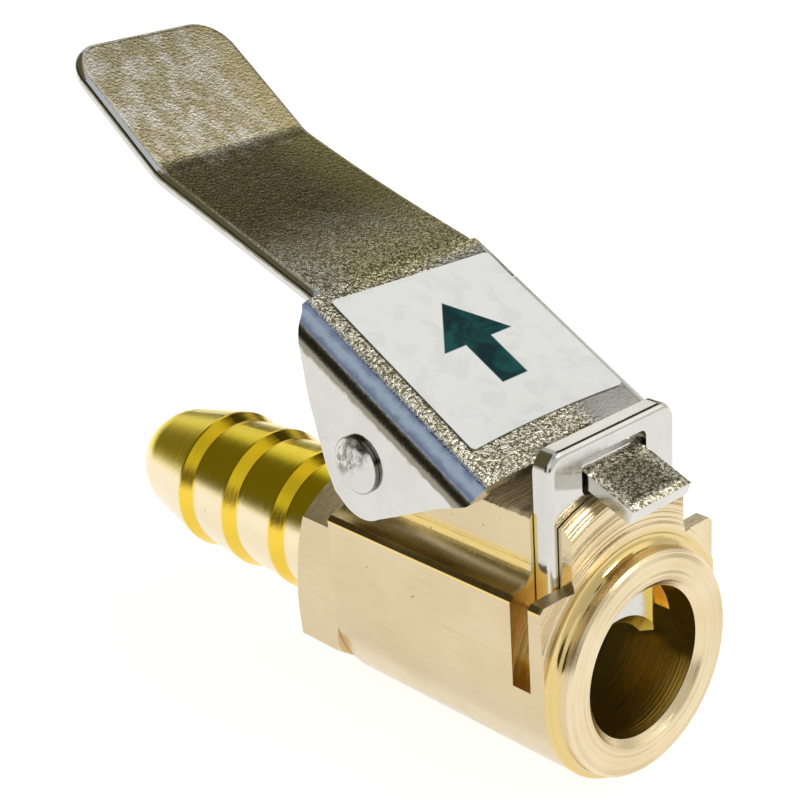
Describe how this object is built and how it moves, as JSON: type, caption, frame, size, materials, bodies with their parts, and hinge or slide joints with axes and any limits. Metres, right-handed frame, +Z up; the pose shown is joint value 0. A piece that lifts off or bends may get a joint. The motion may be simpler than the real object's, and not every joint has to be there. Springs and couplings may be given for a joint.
{
  "type": "clip-on air chuck",
  "caption": "Clip-on tyre valve chuck: brass body with barbed hose tail, pivoted sheet lever that lifts a spring-held clamp plate, gasket and core depressor inside.",
  "frame": {"origin": "centre of the valve bore's mouth, on the collar's front face", "axes": "+Z up towards the lever, +Y along the bore from the mouth to the hose tail, +X to the right seen from the mouth"},
  "size_m": [0.0152, 0.0408, 0.0344],
  "materials": {
    "brass_body": "turned and milled brass, pale, fine tool marks",
    "brass_tail": "turned brass, yellower",
    "plated_steel": "bright nickel plate",
    "lever_steel": "nickel plate with a pebbled skin on the upper face",
    "spring_steel": "drawn wire",
    "rubber": "moulded nitrile",
    "label_film": null
  },
  "bodies": {
    "housing": {"body": "brass_body", "hose_tail": "brass_tail", "tail_seal": "rubber", "valve_gasket": "rubber", "lever_pin": "plated_steel", "lever_spring": "spring_steel", "core_spring": "spring_steel"},
    "lever": {"lever": "lever_steel", "label": "label_film"},
    "clamp": {"clamp_plate": "plated_steel"},
    "depressor": {"core_depressor": "brass_tail", "check_seal": "rubber"}
  },
  "joints": [
    {"name": "lever_press", "type": "hinge", "parent": "housing", "child": "lever", "pos_m": [0, 0.0131, 0.00975], "axis": [-1, 0, 0], "range_deg": [0, 15], "stiffness_Nm_per_rad": 0.6, "springref_deg": -14.32, "deforming": ["lever_spring"]},
    {"name": "clamp_slide", "type": "slide", "parent": "housing", "child": "clamp", "axis": [0, 0, 1], "range_m": [0, 0.0029]},
    {"name": "core_slide", "type": "slide", "parent": "housing", "child": "depressor", "axis": [0, 1, 0], "range_m": [0, 0.0011], "stiffness_N_per_m": 400, "springref_m": -0.001, "deforming": ["core_spring"]}
  ],
  "couplings": [
    {"joint": "clamp_slide", "follows": "lever_press", "m_per_rad": 0.01045}
  ]
}
